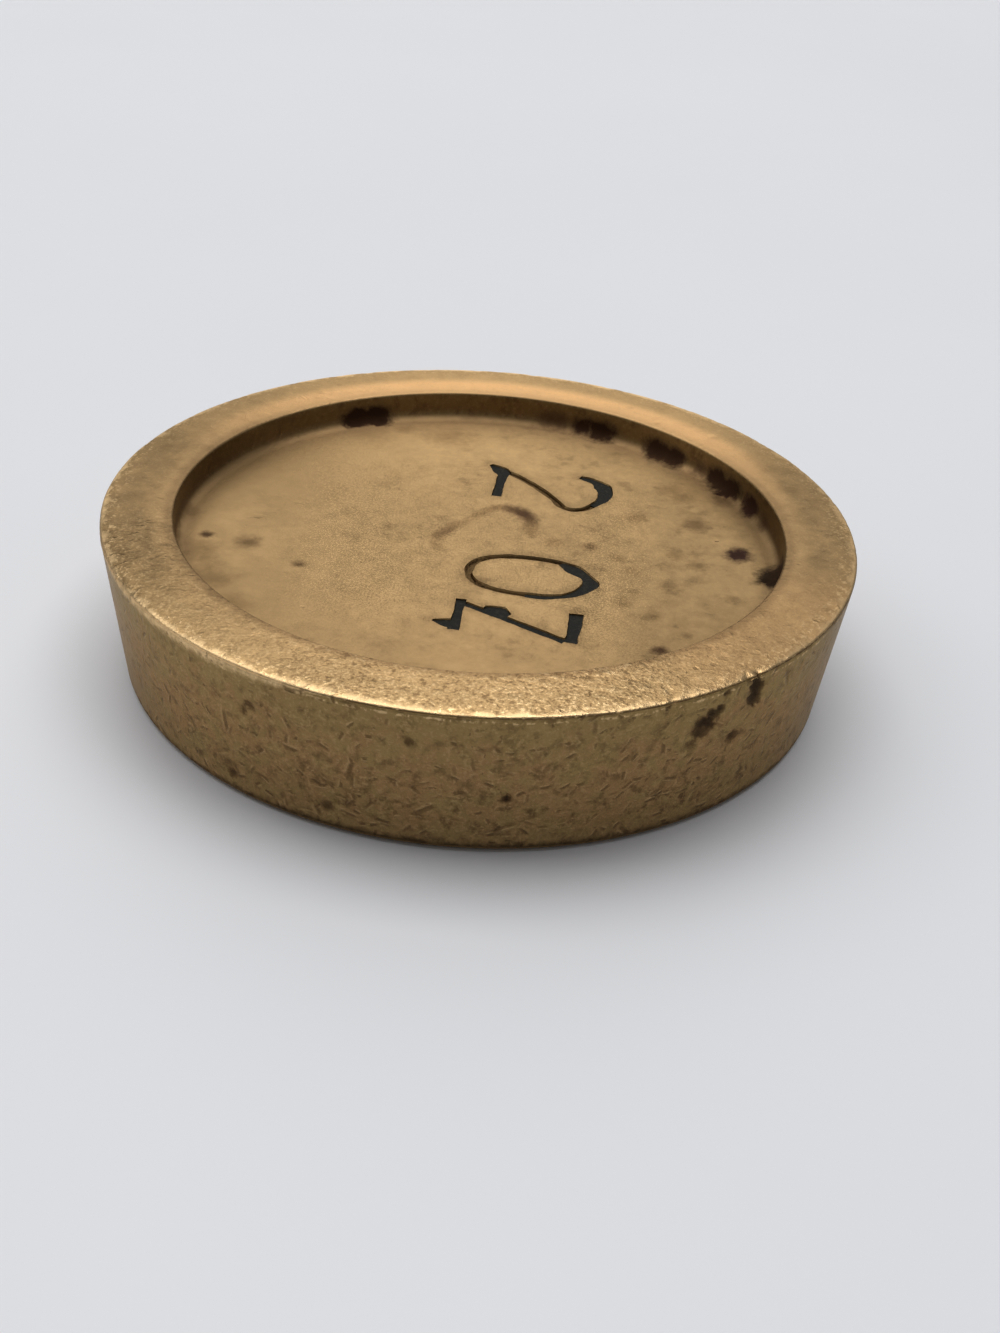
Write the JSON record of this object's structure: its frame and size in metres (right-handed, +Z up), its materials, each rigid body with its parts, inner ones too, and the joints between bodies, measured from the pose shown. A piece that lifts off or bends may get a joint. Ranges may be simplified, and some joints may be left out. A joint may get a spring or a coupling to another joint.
{
  "type": "disc weight",
  "caption": "Flat brass disc weight with a tapered side, a shallow dish in its top that takes the next smaller weight, and a lead adjusting plug keyed into its underside.",
  "frame": {"origin": "centre of the foot, on the surface that the weight stands on", "axes": "+Z up along the axis of the disc; +X is the way the value mark reads and +Y is the top of its characters, so the mark reads upright from -Y"},
  "size_m": [0.0368, 0.0368, 0.0077],
  "materials": {
    "body_brass": "old turned brass with a dull brown tarnish, scratched, brighter where edges are worn",
    "plug_lead": "hammered lead, dull grey",
    "mark_filling": "black filling in the punched value mark, matt"
  },
  "bodies": {
    "root": {"weight_body": "body_brass", "adjusting_plug": "plug_lead"}
  },
  "joints": []
}
